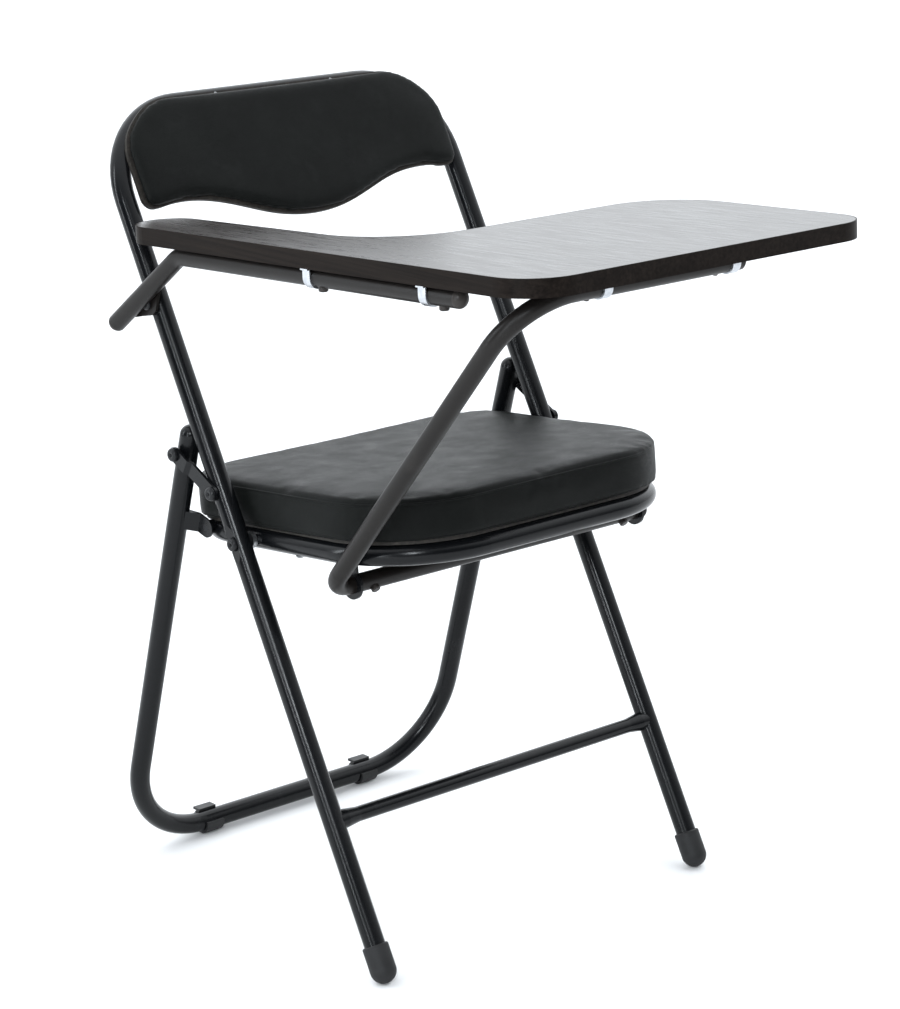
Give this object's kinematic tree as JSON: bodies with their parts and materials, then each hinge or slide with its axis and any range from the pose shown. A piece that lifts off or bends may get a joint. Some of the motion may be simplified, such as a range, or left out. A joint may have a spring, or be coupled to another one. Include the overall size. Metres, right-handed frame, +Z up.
{
  "type": "student desk chair",
  "caption": "Folding tube-frame chair with a padded seat and back and a writing board on a swinging arm at the sitter's right.",
  "frame": {"origin": "on the floor, midway between the two front feet", "axes": "+Z up, the sitter faces -Y, the sitter's right hand and the armrest are at -X"},
  "size_m": [0.4826, 0.6812, 0.796],
  "materials": {
    "frame_paint": "semi-gloss black powder coat",
    "rivet_steel": "painted rivet, worn",
    "washer_steel": "dull zinc",
    "foot_rubber": "matt",
    "glide_plastic": "moulded",
    "arm_paint": "matt brown-black coat",
    "plug_plastic": "moulded",
    "zinc": "bright zinc plate",
    "vinyl": "fine-grained black vinyl",
    "plywood": "dark stained board",
    "laminate": "dark brown wood-grain laminate",
    "edge_band": "dark brown edge band"
  },
  "bodies": {
    "frame": {"back_frame_tube": "frame_paint", "crossbar": "frame_paint", "foot_cap_left": "foot_rubber", "foot_cap_right": "foot_rubber", "backrest_board": "plywood", "backrest_pad": "vinyl", "backrest_screws": "washer_steel", "seat_pivot_rivets": "rivet_steel", "seat_pivot_washers": "washer_steel", "link_front_rivets": "rivet_steel"},
    "rear_legs": {"rear_leg_tube": "frame_paint", "rear_bracket_left": "frame_paint", "rear_bracket_right": "frame_paint", "glide_left": "glide_plastic", "glide_right": "glide_plastic"},
    "link_left": {"link_left": "frame_paint", "link_rear_rivet_left": "rivet_steel"},
    "link_right": {"link_right": "frame_paint", "link_rear_rivet_right": "rivet_steel"},
    "seat": {"seat_ring": "frame_paint", "seat_board": "plywood", "seat_cushion": "vinyl", "seat_screws": "washer_steel", "axle_eye_left": "frame_paint", "axle_eye_right": "frame_paint", "rear_pivot_bushes": "frame_paint", "rear_pivot_rivets": "rivet_steel"},
    "support": {"support_tube": "arm_paint", "support_end_plugs": "plug_plastic", "axle_stop_pegs": "plug_plastic", "support_stop_pegs": "plug_plastic"},
    "tablet": {"writing_board": "laminate", "board_edge_band": "edge_band", "arm_tube": "arm_paint", "arm_front_plug": "plug_plastic", "arm_tail_plug": "plug_plastic", "arm_lug": "arm_paint", "arm_pivot_pin": "rivet_steel", "support_clamps": "zinc", "arm_clamps": "zinc", "clamp_screws": "zinc", "arm_stop_pegs": "plug_plastic"}
  },
  "joints": [
    {"name": "seat_fold", "type": "hinge", "parent": "frame", "child": "seat", "pos_m": [0, 0.21762, 0.39115], "axis": [-1, 0, 0], "range_deg": [0, 113.1]},
    {"name": "rear_leg_fold", "type": "hinge", "parent": "seat", "child": "rear_legs", "pos_m": [0, 0.28737, 0.38845], "axis": [1, 0, 0], "range_deg": [0, 68.85]},
    {"name": "link_left_pivot", "type": "hinge", "parent": "frame", "child": "link_left", "pos_m": [0, 0.24347, 0.43762], "axis": [-1, 0, 0], "range_deg": [0, 110.73]},
    {"name": "link_right_pivot", "type": "hinge", "parent": "frame", "child": "link_right", "pos_m": [0, 0.24347, 0.43762], "axis": [-1, 0, 0], "range_deg": [0, 110.73]},
    {"name": "support_axle", "type": "hinge", "parent": "seat", "child": "support", "pos_m": [0, 0.07899, 0.3765], "axis": [1, 0, 0], "range_deg": [0, 221.3]},
    {"name": "tablet_pivot", "type": "hinge", "parent": "support", "child": "tablet", "pos_m": [0, -0.182, 0.6956], "axis": [-1, 0, 0], "range_deg": [0, 43.8]}
  ],
  "couplings": [
    {"joint": "rear_leg_fold", "follows": "seat_fold", "ratio": 0.60875},
    {"joint": "link_left_pivot", "follows": "seat_fold", "ratio": 0.97904},
    {"joint": "link_right_pivot", "follows": "seat_fold", "ratio": 0.97904},
    {"joint": "support_axle", "follows": "seat_fold", "ratio": 1.9567},
    {"joint": "tablet_pivot", "follows": "seat_fold", "ratio": 0.38727}
  ]
}
